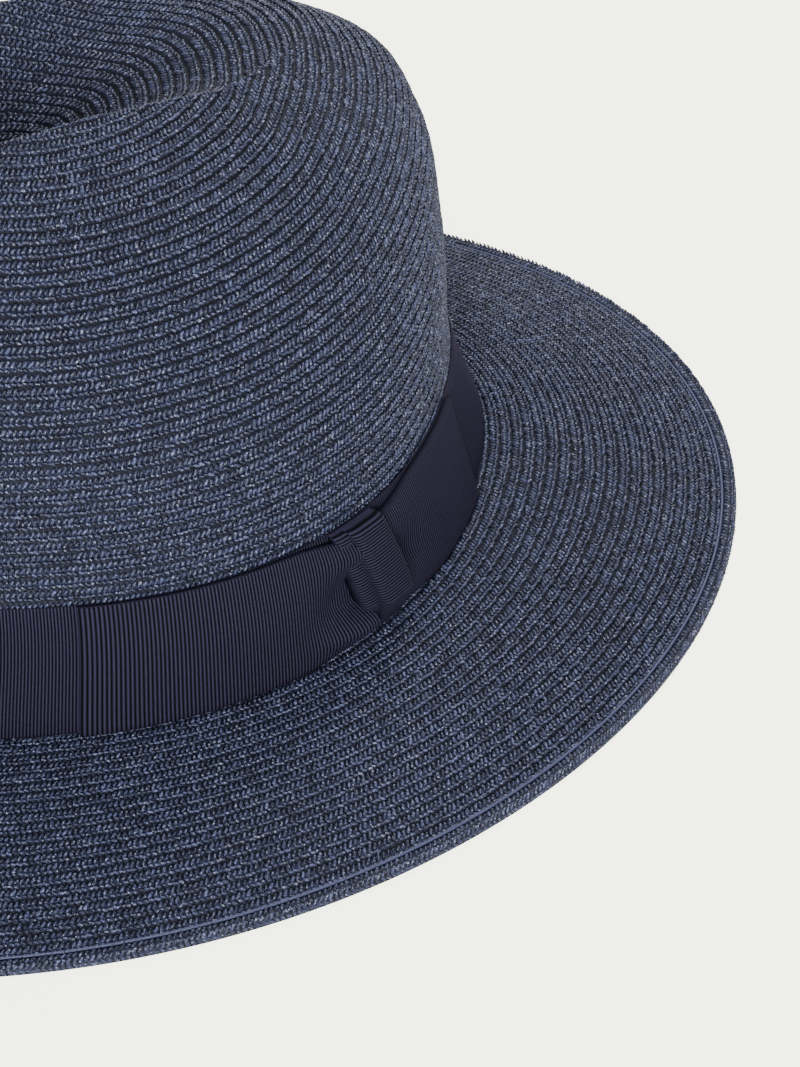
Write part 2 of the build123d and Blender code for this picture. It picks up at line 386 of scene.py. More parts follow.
def closed_tree(tree, geometry, material):
    """Realizes the instances, sets the material and joins both to the tree's output."""
    real = node(tree, "GeometryNodeRealizeInstances", {"Geometry": geometry})
    painted = node(
        tree, "GeometryNodeSetMaterial", {"Geometry": real.outputs[0], "Material": material}
    )
    node(tree, "NodeGroupOutput", {"Geometry": painted.outputs[0]})
    return tree


def strands_tree(name, parts):
    """A tree that lays one or more kinds of rounded strand on each point, with a random tint for each."""
    sizes = [f"{part} {what}" for part in parts for what in ("Length", "Width", "Height", "Lean", "Across")]
    tree, given = shape_tree(name, [*sizes, "Wobble", "Variation", "Lift"])
    standing = node(
        tree,
        "FunctionNodeAlignRotationToVector",
        {"Vector": carried(tree, "outward", "FLOAT_VECTOR")},
        axis="Z",
    )
    turned = node(
        tree,
        "FunctionNodeAlignRotationToVector",
        {"Rotation": standing.outputs[0], "Vector": carried(tree, "along", "FLOAT_VECTOR")},
        axis="X",
        pivot_axis="Z",
    )
    joined = tree.nodes.new("GeometryNodeJoinGeometry")
    rings = 4 - len(parts) // 2
    for seed, part in enumerate(parts):
        height, width, length = (
            maths(tree, "MULTIPLY", given[f"{part} {what}"], 0.5) for what in ("Height", "Width", "Length")
        )
        ball = node(tree, "GeometryNodeMeshUVSphere", {"Segments": 4, "Rings": rings, "Radius": 1.0})
        long = node(
            tree,
            "GeometryNodeTransform",
            {
                "Geometry": ball.outputs[0],
                "Scale": xyz(tree, X=height, Y=width, Z=length),
                "Rotation": (0, pi / 2, 0),
            },
        )
        strand = node(
            tree,
            "GeometryNodeTransform",
            {
                "Geometry": long.outputs[0],
                "Rotation": xyz(tree, Z=given[f"{part} Lean"]),
                "Translation": xyz(tree, Y=given[f"{part} Across"], Z=given["Lift"]),
            },
        )
        less = maths(tree, "SUBTRACT", 0.0, given["Wobble"])
        wobble = chance(tree, less, given["Wobble"], 11 + seed)
        whole_turn = maths(tree, "ADD", wobble, carried(tree, "turn"))
        as_turn = node(tree, "FunctionNodeEulerToRotation", {0: xyz(tree, Z=whole_turn)})
        rotation = node(
            tree,
            "FunctionNodeRotateRotation",
            {0: turned.outputs[0], 1: as_turn.outputs[0]},
            rotation_space="LOCAL",
        )
        small = maths(tree, "SUBTRACT", 1.0, given["Variation"])
        large = maths(tree, "ADD", 1.0, given["Variation"])
        laid = node(
            tree,
            "GeometryNodeInstanceOnPoints",
            {
                "Points": given["Geometry"],
                "Instance": strand.outputs[0],
                "Rotation": rotation.outputs[0],
                "Scale": chance(tree, small, large, 23 + seed),
            },
        )
        tinted = node(
            tree,
            "GeometryNodeStoreNamedAttribute",
            {"Geometry": laid.outputs[0], "Name": "tint", "Value": chance(tree, 0.0, 1.0, 37 + seed)},
            data_type="FLOAT",
            domain="INSTANCE",
        )
        tree.links.new(tinted.outputs[0], joined.inputs[0])
    return closed_tree(tree, joined.outputs[0], given["Material"])


def rib_wave(tree, count, waveform="SINE"):
    """Rounded ribs from 0 to 1, one for each whole number that is counted."""
    turn = maths(tree, "MULTIPLY", count, pi)
    return maths(tree, "ABSOLUTE", maths(tree, waveform, turn))


def ribs_tree():
    """A tree that raises a ribbon's ribs along its outward directions, clear of its two selvedges."""
    tree, given = shape_tree("Ribbon ribs", ["Pitch", "Height"])
    wave = rib_wave(tree, maths(tree, "DIVIDE", carried(tree, "length"), given["Pitch"]))
    masked = maths(tree, "MULTIPLY", wave, carried(tree, "ribbed"))
    height = maths(tree, "MULTIPLY", masked, given["Height"])
    offset = node(
        tree,
        "ShaderNodeVectorMath",
        {0: carried(tree, "outward", "FLOAT_VECTOR"), "Scale": height},
        operation="SCALE",
    )
    moved = node(
        tree,
        "GeometryNodeSetPosition",
        {"Geometry": given["Geometry"], "Offset": offset.outputs[0]},
    )
    return closed_tree(tree, moved.outputs[0], given["Material"])


def grown(source, tree, values):
    """Runs a tree on a piece and returns the result as a plain mesh under the piece's name."""
    modifier = source.modifiers.new(tree.name, "NODES")
    modifier.node_group = tree
    keys = {s.name: s.identifier for s in tree.interface.items_tree if s.in_out == "INPUT"}
    for label, value in values.items():
        modifier[keys[label]] = value
    depsgraph = bpy.context.evaluated_depsgraph_get()
    mesh = bpy.data.meshes.new_from_object(
        source.evaluated_get(depsgraph), preserve_all_data_layers=True, depsgraph=depsgraph
    )
    name = source.name
    source.modifiers.remove(modifier)
    bpy.data.objects.remove(source)
    mesh.polygons.foreach_set("use_smooth", [True] * len(mesh.polygons))
    return linked(name, mesh)


# ---- shaders ----------------------------------------------------------------------------------------------


def effect(name, inputs, outputs):
    """An empty shader group with named float inputs and outputs."""
    tree = bpy.data.node_groups.new(name, "ShaderNodeTree")
    for label, default in inputs:
        socket = tree.interface.new_socket(name=label, in_out="INPUT", socket_type="NodeSocketFloat")
        socket.default_value = default
    for label in outputs:
        tree.interface.new_socket(name=label, in_out="OUTPUT", socket_type="NodeSocketFloat")
    return tree, tree.nodes.new("NodeGroupInput").outputs


def fibre_effect():
    """Fine fibres and slow unevenness on Object coordinates."""
    tree, given = effect(
        "Fibre variation", [("Fibre Size", 900.0), ("Patch Size", 30.0)], ["Fibre", "Patch"]
    )
    place = tree.nodes.new("ShaderNodeTexCoord").outputs["Object"]
    fibre = node(
        tree,
        "ShaderNodeTexNoise",
        {"Vector": place, "Scale": given["Fibre Size"], "Detail": 3.0, "Roughness": 0.6},
    )
    patch = node(
        tree,
        "ShaderNodeTexNoise",
        {"Vector": place, "Scale": given["Patch Size"], "Detail": 2.0, "Roughness": 0.5},
    )
    node(tree, "NodeGroupOutput", {"Fibre": fibre.outputs[0], "Patch": patch.outputs[0]})
    return tree


def row_effect():
    """Slanted strokes and small beads in rows, on a UV map whose V counts the rows."""
    tree, given = effect("Braid rows", [("Slant", 0.6)], ["Height"])
    place = node(tree, "ShaderNodeUVMap", uv_map="rows")
    parts = node(tree, "ShaderNodeSeparateXYZ", {0: place.outputs[0]})
    slanted = maths(tree, "MULTIPLY_ADD", parts.outputs["Y"], given["Slant"], parts.outputs["X"])
    stroke = rib_wave(tree, slanted)
    rounded = rib_wave(tree, parts.outputs["Y"], "COSINE")
    node(tree, "NodeGroupOutput", {"Height": maths(tree, "MULTIPLY", stroke, rounded)})
    return tree


def weave_effect():
    """A plain weave of fine threads on Object coordinates."""
    tree, given = effect("Fine weave", [("Thread Count", 2600.0)], ["Height"])
    place = tree.nodes.new("ShaderNodeTexCoord").outputs["Object"]
    waves = [
        node(
            tree,
            "ShaderNodeTexWave",
            {"Vector": place, "Scale": given["Thread Count"], "Distortion": 1.2, "Detail": 1.0},
            bands_direction=way,
        ).outputs[1]
        for way in ("DIAGONAL", "Z")
    ]
    node(tree, "NodeGroupOutput", {"Height": maths(tree, "MULTIPLY", *waves)})
    return tree


def placed(tree, group, **values):
    """A shader group placed in a material with its own values."""
    new = node(tree, "ShaderNodeGroup", node_tree=group)
    for label, value in values.items():
        new.inputs[label.replace("_", " ")].default_value = value
    return new.outputs


def finish(name, roughness, constants=()):
    """A material with a Principled shader, whose constants are set on its own sockets."""
    material = bpy.data.materials.new(name)
    material.use_nodes = True
    tree = material.node_tree
    shader = tree.nodes["Principled BSDF"]
    shader.inputs["Roughness"].default_value = roughness
    for label, value in dict(constants).items():
        shader.inputs[label].default_value = value
    return material, tree, shader.inputs


def ramp(tree, factor, *stops):
    """A colour that follows a value through stops of place and colour."""
    new = node(tree, "ShaderNodeValToRGB", {0: factor})
    elements = new.color_ramp.elements
    while len(elements) < len(stops):
        elements.new(0.5)
    for element, (place, colour) in zip(elements, stops):
        element.position = place
        element.color = (*colour, 1)
    return new.outputs[0]


def raised(tree, inputs, height, distance, strength=1.0):
    """Feeds a height into the shader's normal."""
    bump = node(tree, "ShaderNodeBump", {"Height": height, "Distance": distance, "Strength": strength})
    tree.links.new(bump.outputs[0], inputs["Normal"])


def mixed(tree, share, first, second, way="MIX"):
    """Two colours mixed by a share."""
    values = {0: share, 6: first, 7: second}
    return node(tree, "ShaderNodeMix", values, data_type="RGBA", blend_type=way).outputs[2]


def scaled(colour, times):
    """A colour made lighter or darker."""
    return tuple(min(1.0, channel * times) for channel in colour)


def strand_finish(colours, effects):
    """Dyed straw strands: each has its own tint, and some are pale; the small pale flecks on them are painted
    glints.
    """
    material, tree, inputs = finish("Dyed straw", 0.47, {"Specular IOR Level": 0.42})
    tint = node(tree, "ShaderNodeAttribute", attribute_name="tint")
    base = tuple(colours.straw)
    fibres = placed(tree, effects["fibre"], Fibre_Size=1900.0, Patch_Size=14.0)
    by_strand = ramp(
        tree,
        tint.outputs["Fac"],
        (0.0, scaled(base, 0.5)),
        (0.5, base),
        (0.9, scaled(base, 1.35)),
        (1.0, scaled(base, 2.2)),
    )
    patchy = ramp(tree, fibres["Patch"], (0.3, (0.78, 0.78, 0.8)), (0.7, (1.0, 1.0, 1.0)))
    fine = ramp(tree, fibres["Fibre"], (0.38, (0.35, 0.35, 0.37)), (0.55, (1.0, 1.0, 1.0)))
    # painted highlight: where the fine fibre noise is high, the strands turn pale like glints of light on the
    # fibres
    glint_flecks = ramp(tree, fibres["Fibre"], (0.58, (0.0, 0.0, 0.0)), (0.68, (0.9, 0.9, 0.9)))
    varied = mixed(tree, 1.0, by_strand, patchy, "MULTIPLY")
    dark = mixed(tree, 1.0, varied, fine, "MULTIPLY")
    tree.links.new(mixed(tree, glint_flecks, dark, (*colours.glint_colour, 1)), inputs["Base Color"])
    raised(tree, inputs, fibres["Fibre"], 0.0002, 0.7)
    return material


def backing_finish(colours, effects):
    """The braid's dark body, seen between strands and inside, with painted shade in the grooves between its
    rows and strokes.
    """
    material, tree, inputs = finish("Straw braid body", 0.7, {"Specular IOR Level": 0.3})
    fibres = placed(tree, effects["fibre"], Fibre_Size=1100.0, Patch_Size=40.0)
    rows = placed(tree, effects["rows"], Slant=0.6)["Height"]
    base = tuple(colours.straw)
    # painted shade: the colour darkens where the rows' height is low, in the grooves, and lightens on the
    # tops of rows and strokes
    shade = ramp(tree, rows, (0.1, scaled(base, 0.15)), (0.55, scaled(base, 0.6)), (1.0, scaled(base, 1.1)))
    fine = ramp(tree, fibres["Fibre"], (0.3, (0.6, 0.6, 0.62)), (0.7, (1.0, 1.0, 1.0)))
    tree.links.new(mixed(tree, 1.0, shade, fine, "MULTIPLY"), inputs["Base Color"])
    raised(tree, inputs, rows, 0.0006, 0.8)
    return material


def ribbon_finish(colours, effects):
    """Grosgrain: a dark matt ribbon, with painted highlights on its ribs and painted shade between them."""
    material, tree, inputs = finish("Grosgrain ribbon", 0.75, {"Specular IOR Level": 0.07})
    fibres = placed(tree, effects["fibre"], Fibre_Size=2600.0, Patch_Size=60.0)
    weave = placed(tree, effects["weave"], Thread_Count=3000.0)["Height"]
    base = tuple(colours.ribbon)
    along = node(tree, "ShaderNodeAttribute", attribute_name="length").outputs["Fac"]
    pitch = bpy.context.scene.fedora_ribbon.rib_pitch
    rib = rib_wave(tree, maths(tree, "DIVIDE", along, pitch))
    # painted highlight and shade: the rib tops get three times the ribbon's colour, and the grooves between
    # ribs are nearly black
    shade = ramp(tree, rib, (0.25, scaled(base, 0.08)), (0.65, base), (1.0, scaled(base, 3.0)))
    fine = ramp(tree, fibres["Fibre"], (0.3, (0.7, 0.7, 0.7)), (0.7, (1.0, 1.0, 1.0)))
    tree.links.new(mixed(tree, 1.0, shade, fine, "MULTIPLY"), inputs["Base Color"])
    raised(tree, inputs, weave, 0.0001, 0.5)
    return material


def leather_finish(colours, effects):
    """A smooth sweatband leather with a fine grain and slightly worn places."""
    material, tree, inputs = finish("Sweatband leather", 0.45)
    fibres = placed(tree, effects["fibre"], Fibre_Size=700.0, Patch_Size=25.0)
    place = tree.nodes.new("ShaderNodeTexCoord").outputs["Object"]
    grain = node(tree, "ShaderNodeTexVoronoi", {"Vector": place, "Scale": 900.0})
    base = tuple(colours.leather)
    shade = ramp(tree, fibres["Patch"], (0.3, scaled(base, 0.8)), (0.7, scaled(base, 1.15)))
    tree.links.new(shade, inputs["Base Color"])
    raised(tree, inputs, grain.outputs["Distance"], 0.00025, 0.5)
    return material


def plain_finish(name, colour, roughness, effects, effect_name="fibre"):
    """A thread, tape or plastic finish: its colour varied by fibres or by a weave."""
    material, tree, inputs = finish(name, roughness)
    if effect_name == "weave":
        value = placed(tree, effects["weave"], Thread_Count=1800.0)["Height"]
    else:
        value = placed(tree, effects["fibre"], Fibre_Size=1800.0, Patch_Size=50.0)["Fibre"]
    shade = ramp(tree, value, (0.25, scaled(colour, 0.7)), (0.75, scaled(colour, 1.15)))
    tree.links.new(shade, inputs["Base Color"])
    raised(tree, inputs, value, 0.00012, 0.6)
    return material


made = {}  # the shared materials and trees, once they are built


def build_shared():
    """Builds every shader group, material and geometry tree once."""
    colours = bpy.context.scene.fedora_colours
    effects = {"fibre": fibre_effect(), "rows": row_effect(), "weave": weave_effect()}
    navy = tuple(colours.ribbon)
    made.update(
        strands=strand_finish(colours, effects),
        body=backing_finish(colours, effects),
        ribbon=ribbon_finish(colours, effects),
        leather=leather_finish(colours, effects),
        thread=plain_finish("Navy thread", scaled(tuple(colours.straw), 1.3), 0.6, effects),
        stitches=plain_finish("Sweatband thread", scaled(tuple(colours.leather), 1.8), 0.6, effects),
        wire=plain_finish("Spring wire", (0.3, 0.3, 0.31), 0.35, effects),
        reed=plain_finish("Reed", scaled(navy, 1.5), 0.4, effects),
        tape=plain_finish("Narrow tape", scaled(navy, 1.6), 0.6, effects, "weave"),
        label=plain_finish("Woven label", (0.06, 0.065, 0.09), 0.65, effects, "weave"),
        braid_cells=strands_tree("Braid cells", ["Strand", "Bead"]),
        single=strands_tree("Single stitches", ["Stitch"]),
        ribs=ribs_tree(),
    )


def braid_strands(name, places, along, up):
    """One piece of braid strands over a row's cells."""
    sizes = bpy.context.scene.fedora_braid
    values = {
        "Material": made["strands"],
        "Strand Length": sizes.strand_length,
        "Strand Width": sizes.strand_width,
        "Strand Height": sizes.strand_height,
        "Strand Lean": sizes.strand_lean,
        "Strand Across": sizes.strand_across,
        "Bead Length": sizes.bead_length,
        "Bead Width": sizes.bead_width,
        "Bead Height": sizes.bead_height,
        "Bead Lean": sizes.bead_lean,
        "Bead Across": sizes.bead_across,
        "Wobble": radians(8),
        "Variation": 0.2,
        "Lift": -0.12 * MM,
    }
    return grown(point_piece(name, places, along, up), made["braid_cells"], values)


def braid_body(name, grid, turns, cells_round):
    """The closed body under the strands: rounded rows outside, and rows again on its other side."""
    facing = outward(grid)
    low = grid + facing * (row_relief(grid, turns, 0.45) - 0.85)
    under = grid - facing * (BRAID_THICKNESS - 0.5 + row_relief(grid, turns, 0.5))
    piece = skin(name, low, under, True, (cells_round, turns), 1.0, merge=True)
    piece.data.materials.append(made["body"])
    return piece


def split_strands(name, grid, turns, spacing, count):
    """The strands of a spiral as a few pieces, each a run of its turns."""
    places, along, up = spiral_cells(grid, turns, spacing / MM)
    pieces = []
    for number, part in enumerate(np.array_split(np.arange(len(places)), count)):
        pieces.append(braid_strands(f"{name}_{number + 1}", places[part], along[part], up[part]))
    return pieces


# ---- ribbon -----------------------------------------------------------------------------------------------


def ribbon(name, outer, inner, wraps, ribbed, length):
    """A closed ribbon between two grids, ribbed on its outer face by the ribs tree."""
    piece = skin(name, outer, inner, wraps, (1.0, 1.0))
    facing = outward(outer, wraps)
    count = outer.shape[0] * outer.shape[1]
    flat = np.zeros((count, 3))
    mesh = piece.data
    mesh.attributes.new("outward", "FLOAT_VECTOR", "POINT").data.foreach_set(
        "vector", np.concatenate([facing.reshape(-1, 3), flat]).astype(np.float32).reshape(-1)
    )
    for label, values in (("ribbed", ribbed), ("length", length)):
        values = np.broadcast_to(values, outer.shape[:2]).reshape(-1) * (MM if label == "length" else 1)
        mesh.attributes.new(label, "FLOAT", "POINT").data.foreach_set(
            "value", np.concatenate([values, np.zeros(count)]).astype(np.float32)
        )
    sizes = bpy.context.scene.fedora_ribbon
    values = {"Material": made["ribbon"], "Pitch": sizes.rib_pitch, "Height": sizes.rib_height}
    return grown(piece, made["ribs"], values)


def across_ribbon(low, high, edge=0.9):
    """Heights across a ribbon with close rows at its two selvedges, and how ribbed each is."""
    inner = np.linspace(low + edge, high - edge, 8)
    heights = np.concatenate([[low, low + edge * 0.6], inner, [high - edge * 0.6, high]])
    ribbed = np.concatenate([[0.0, 0.0], np.ones(8), [0.0, 0.0]])
    return heights, ribbed


def bow_frame():
    """The bow's middle line round the crown: the angle at each distance along its facing plane."""
    turn = radians(BOW_ANGLE)
    angles = np.radians(np.linspace(BOW_ANGLE - 75, BOW_ANGLE + 75, 1501))
    line = wall_point(angles, BAND_LEVEL, 2.0)
    middle = np.array([0, CROWN_CENTRE_Y, 0])
    along = (line - middle) @ np.array([cos(turn), sin(turn), 0])
    return angles, along


def angle_at(distance):
    """The angle round the crown at a distance along the bow's facing plane."""
    angles, along = bow_frame()
    return np.interp(distance, along, angles)


def on_crown(distance, height, offset):
    """Points at a distance along the bow, a height above the brim and an offset from the crown."""
    return wall_point(angle_at(distance), height, offset)


def bow_loop(name, start, end, hidden, gather):
    """One flat loop of the bow: folded at its far end and gathered where the knot holds it."""
    sizes = bpy.context.scene.fedora_ribbon
    width = sizes.band_width / MM
    pitch = sizes.rib_pitch / MM
    length = abs(end - start)
    columns = int(length / pitch * 4) + 1
    u = np.linspace(0, length, columns)[None, :]
    if start > end:
        u = u[:, ::-1]
    heights, ribbed = across_ribbon(BAND_FOOT, BAND_FOOT + width, 0.7)
    heights = np.concatenate([heights[:2], np.linspace(heights[2], heights[-3], 26), heights[-2:]])
    ribbed = np.concatenate([[0, 0], np.ones(26), [0, 0]])
    v = ((heights - heights[0]) / width)[:, None]
    pinch = np.exp(-((np.clip(u - hidden, 0, None) / 10.5) ** 2))
    middle = BAND_FOOT + width / 2
    height = middle + (heights[:, None] - middle) * (1 - 0.16 * pinch)
    fold = np.sqrt(np.clip(1 - np.clip((u - (length - 1.6)) / 1.6, 0, 1) ** 2, 0, 1))
    lower = np.exp(-(((v - 0.17) / 0.12) ** 2))
    upper = np.exp(-(((v - 0.86) / 0.16) ** 2))
    hollow = np.exp(-(((v - 0.45) / 0.19) ** 2))
    puff = 0.9 + 1.1 * np.sin(pi * v) * np.exp(-(((u - 20) / 24) ** 2))
    folds = gather * pinch * (5.6 * lower + 3.8 * upper - 4.6 * hollow)
    ripple = 0.22 * np.exp(-u / 22) * np.sin(3.4 * pi * v + 1.2)
    body = 0.95 + (0.75 + puff + folds + ripple) * (0.25 + 0.75 * fold)
    body = np.clip(body, 1.0, 7.5)
    sign = 1 if end > start else -1
    distance = start + sign * u
    angles = angle_at(distance + 0 * height)
    outer = wall_point(angles, height, body)
    inner = wall_point(angles, height, 0.85 + 0 * body)
    ribs = ribbed[:, None] * (0.35 + 0.65 * fold)
    return ribbon(name, outer, inner, False, ribs, u + 0 * height)


def knot_layer(name, low, high, base, top, lift):
    """One turn of the knot's ribbon, which wraps upright over both loops."""
    sizes = bpy.context.scene.fedora_ribbon
    width = sizes.band_width / MM
    pitch = sizes.rib_pitch / MM
    over = 0.3  # how far the knot reaches past each edge of the loops
    rows = int((width + 2 * over) / pitch * 4) + 1
    heights = np.linspace(BAND_FOOT - over, BAND_FOOT + width + over, rows)[:, None]
    v = (heights - heights[0]) / (heights[-1] - heights[0])
    edge = 0.5
    inside = np.linspace(low + edge, high - edge, 10)
    distance = np.concatenate([[low, low + edge * 0.5], inside, [high - edge * 0.5, high]])[None, :]
    ribbed = np.concatenate([[0, 0], np.ones(10), [0, 0]])[None, :]
    s = (distance - low) / (high - low)
    turned_in = np.sqrt(np.clip(1 - ((v - 0.93) / 0.07).clip(0, 1) ** 2, 0, 1))
    low_face = np.clip(v / 0.33, 0, 1) ** 0.85
    high_face = 1 - 0.3 * np.clip((v - 0.33) / 0.67, 0, 1) ** 1.2
    ends = turned_in * low_face * high_face
    side = np.clip(1 - np.abs(2 * s - 1) ** 8, 0, 1)
    body = base + (top - base) * ends * (0.86 + 0.14 * side) + lift * ends * side
    narrow = 1 - 0.12 * np.exp(-(((v - 0.22) / 0.2) ** 2))
    middle = (low + high) / 2
    place = middle + (distance - middle) * narrow - KNOT_LEAN * v**1.5
    outer = on_crown(place, heights + 0 * place, body)
    inner = on_crown(place, heights + 0 * place, base + 0 * body)
    return ribbon(name, outer, inner, False, ribbed * ends, heights + 0 * place)


# ---- operators --------------------------------------------------------------------------------------------


class FEDORA_OT_shared(bpy.types.Operator):
    """Build the materials, shader groups and geometry trees that the pieces share"""

    bl_idname = "fedora.shared"
    bl_label = "Materials and trees"

    def execute(self, context):
        build_shared()
        return {"FINISHED"}


class FEDORA_OT_crown(bpy.types.Operator):
    """Build the crown: a spiral of sewn braid with a teardrop dent"""

    bl_idname = "fedora.crown"
    bl_label = "Crown"

    def execute(self, context):
        sizes = context.scene.fedora_braid
        turns = sizes.crown_turns
        body = braid_body("crown_body", crown_grid(turns, columns=150, samples=4), turns, cells_round=440)
        finished(body, "crown_braid")
        grid = crown_grid(turns, columns=720, samples=8)
        for piece in split_strands("crown_strands", grid, turns, sizes.cell_spacing, count=4):
            finished(piece, "crown_braid")
        return {"FINISHED"}


class FEDORA_OT_brim(bpy.types.Operator):
    """Build the brim: a spiral of sewn braid, out to the stitched groove"""

    bl_idname = "fedora.brim"
    bl_label = "Brim"

    def execute(self, context):
        sizes = context.scene.fedora_braid
        turns = sizes.brim_turns
        body = braid_body("brim_body", brim_grid(turns, columns=360, samples=4), turns, cells_round=580)
        finished(body, "brim_braid")
        grid = brim_grid(turns, columns=720, samples=8)
        for piece in split_strands("brim_strands", grid, turns, sizes.cell_spacing, count=3):
            finished(piece, "brim_braid")
        return {"FINISHED"}


class FEDORA_OT_edge_row(bpy.types.Operator):
    """Build the brim's edge row, which holds the shaping wire"""

    bl_idname = "fedora.edge_row"
    bl_label = "Edge row"

    def execute(self, context):
        columns = 720
        angles = tau * np.arange(columns)[None, :] / columns
        low = RESTS_ON_FLOOR / MM
        outline = ((0, 0.15), (-0.1, 0.8), (0.1, 1.7), (0.7, 2.25), (1.6, 2.45), (2.5, 2.2), (EDGE_ROW, 1.6))
        half = np.array([EDGE_HALF_WIDTH / MM - 0.25, EDGE_HALF_LENGTH / MM - 0.25])

        def ring(inset, height):
            x = (half[0] - inset) * np.sin(angles)
            y = -(half[1] - inset) * np.cos(angles)
            return np.stack([x, y, low + height + 0 * x], -1)

        outer = np.concatenate([ring(inset, height) for inset, height in outline])
        under_thread = EDGE_ROW + GROOVE + 0.5
        levels = np.linspace(0.15, 1.0, len(outline))
        inner = np.concatenate([ring(under_thread, height) for height in levels])
        body = skin("edge_row_body", outer, inner, True, (730, 1.0), 0.0, merge=True)
        body.data.materials.append(made["body"])
        finished(body, "brim_edge_row")
        spacing = context.scene.fedora_braid.cell_spacing / MM
        rows = ((1.5, 2.45, 0.0), (0.05, 1.75, 1.0))
        places, along, up = [], [], []
        for inset, height, tipped in rows:
            round_it = ring(inset, height)[0]
            closed = np.concatenate([round_it, round_it[:1]])
            length = run_length(closed)
            count = int(length[-1] / spacing)
            at = length[-1] * (np.arange(count) + 0.5) / count
            line = np.stack([np.interp(at, length, closed[:, k]) for k in range(3)], 1)
            forward = np.roll(line, -1, 0) - np.roll(line, 1, 0)
            forward /= np.linalg.norm(forward, axis=1, keepdims=True)
            away = np.cross(forward, (0, 0, 1))
            facing = away * tipped + np.array([0, 0, 1.0]) * (1 - 0.85 * tipped)
            facing /= np.linalg.norm(facing, axis=1, keepdims=True)
            places.append(line)
            along.append(forward)
            up.append(facing)
        strands = braid_strands(
            "edge_row_strands", np.concatenate(places), np.concatenate(along), np.concatenate(up)
        )
        finished(strands, "brim_edge_row")
        return {"FINISHED"}


class FEDORA_OT_band(bpy.types.Operator):
    """Build the ribbon band and the stitches that tack its upper edge to the crown"""

    bl_idname = "fedora.band"
    bl_label = "Ribbon band"

    def execute(self, context):
        sizes = context.scene.fedora_ribbon
        width = sizes.band_width / MM
        turn = np.linspace(0, tau, 4001)
        steps = run_length(wall_point(turn, BAND_LEVEL, 0.7))
        ribs = int(steps[-1] / (sizes.rib_pitch / MM))
        columns = ribs * 4
        length = steps[-1] * np.arange(columns) / columns
        angles = np.interp(length, steps, turn)[None, :]
        heights, ribbed = across_ribbon(BAND_FOOT, BAND_FOOT + width)
        tight = np.where((heights == heights[0]) | (heights == heights[-1]), 0.05, 0.0)[:, None]
        outer = wall_point(angles, heights[:, None], 0.55 - tight)
        inner = wall_point(angles, heights[:, None], 0.15)
        phase = (length / steps[-1] * ribs * sizes.rib_pitch / MM)[None, :]
        piece = ribbon("hat_band_ribbon", outer, inner, True, ribbed[:, None] + 0 * phase, phase)
        finished(piece, "hat_band")
        angles = np.radians(BOW_ANGLE + 180 + 240 * ((np.arange(8) + 0.5) / 8 - 0.5))
        height = BAND_FOOT + width - 1.8
        places = wall_point(angles, height, 0.72)
        along = wall_point(angles + 0.01, height) - wall_point(angles - 0.01, height)
        rise = wall_point(angles, height + 1) - wall_point(angles, height - 1)
        values = {
            "Material": made["thread"],
            "Stitch Length": 1.9 * MM,
            "Stitch Width": 0.45 * MM,
            "Stitch Height": 0.4 * MM,
            "Stitch Lean": radians(82),
            "Wobble": radians(8),
            "Variation": 0.1,
        }
        points = point_piece("tacking_stitches", places, along, np.cross(along, rise))
        finished(grown(points, made["single"], values), "band_tacking_stitches")
        return {"FINISHED"}


class FEDORA_OT_bow(bpy.types.Operator):
    """Build the flat bow: two loops and the knot that holds them"""

    bl_idname = "fedora.bow"
    bl_label = "Bow"

    def execute(self, context):
        half = context.scene.fedora_ribbon.knot_width / MM / 2
        front = bow_loop("bow_front_loop_ribbon", start=1.2 - half, end=-half - 60.0, hidden=0.0, gather=1.0)
        finished(front, "bow_front_loop")
        back = bow_loop("bow_back_loop_ribbon", start=half - 7.0, end=half + 44.0, hidden=6.0, gather=0.45)
        finished(back, "bow_back_loop")
        under = knot_layer("bow_knot_under", low=-half, high=half - 3.0, base=1.6, top=5.6, lift=0.3)
        finished(under, "bow_knot")
        over = knot_layer("bow_knot_over", low=3.6 - half, high=half, base=1.6, top=8.0, lift=0.5)
        finished(over, "bow_knot")
        return {"FINISHED"}


